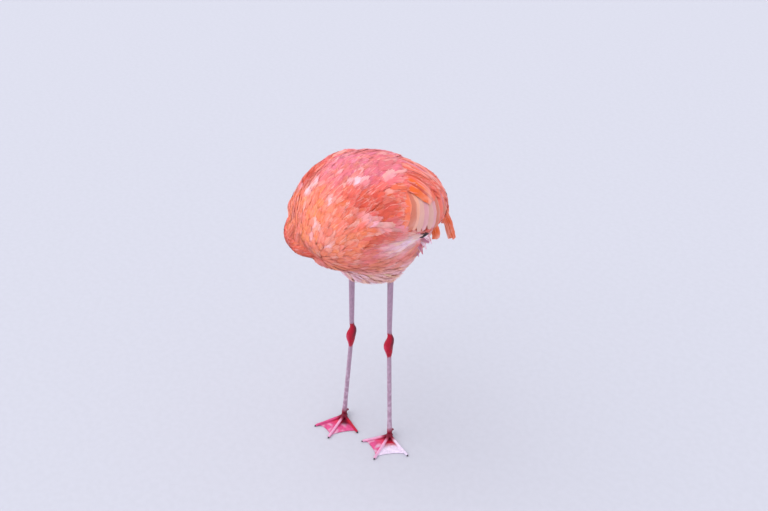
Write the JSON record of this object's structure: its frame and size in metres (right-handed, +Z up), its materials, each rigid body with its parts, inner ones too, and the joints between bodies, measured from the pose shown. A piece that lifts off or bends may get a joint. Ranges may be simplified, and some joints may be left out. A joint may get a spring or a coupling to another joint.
{
  "type": "flamingo figure",
  "caption": "Life-size standing flamingo bent round to scratch its belly, long neck along the right flank, head upside down under the body.",
  "frame": {"origin": "on the floor under the middle of the bird's bounding box", "axes": "+Z up along the bird's height, -Y the way its breast and feet face, +X to its left side"},
  "size_m": [0.3566, 0.459, 0.8258],
  "materials": {
    "coat": "matte",
    "plume": "matte",
    "flight_feather": "matte",
    "leg_skin": "satin",
    "joint_skin": "satin",
    "foot_skin": "satin",
    "claw": "satin",
    "bill": "satin",
    "eye": "gloss"
  },
  "bodies": {
    "root": {"trunk": "coat", "wing_left": "coat", "wing_right": "coat", "tail": "coat", "tertial_left_1": "plume", "tertial_left_2": "plume", "tertial_left_3": "plume", "primaries_left": "flight_feather", "tertial_right_1": "plume", "tertial_right_2": "plume", "tertial_right_3": "plume", "primaries_right": "flight_feather", "neck_base": "coat", "neck_middle": "coat", "neck_upper": "coat", "bill_upper": "bill", "bill_lower": "bill", "eye_left": "eye", "eye_right": "eye", "head": "coat", "tarsus_left": "leg_skin", "ankle_left": "joint_skin", "tibia_left": "leg_skin", "thigh_left": "coat", "foot_left": "foot_skin", "claw_left_inner": "claw", "claw_left_middle": "claw", "claw_left_outer": "claw", "claw_left_hind": "claw", "tarsus_right": "leg_skin", "ankle_right": "joint_skin", "tibia_right": "leg_skin", "thigh_right": "coat", "foot_right": "foot_skin", "claw_right_inner": "claw", "claw_right_middle": "claw", "claw_right_outer": "claw", "claw_right_hind": "claw"}
  },
  "joints": []
}
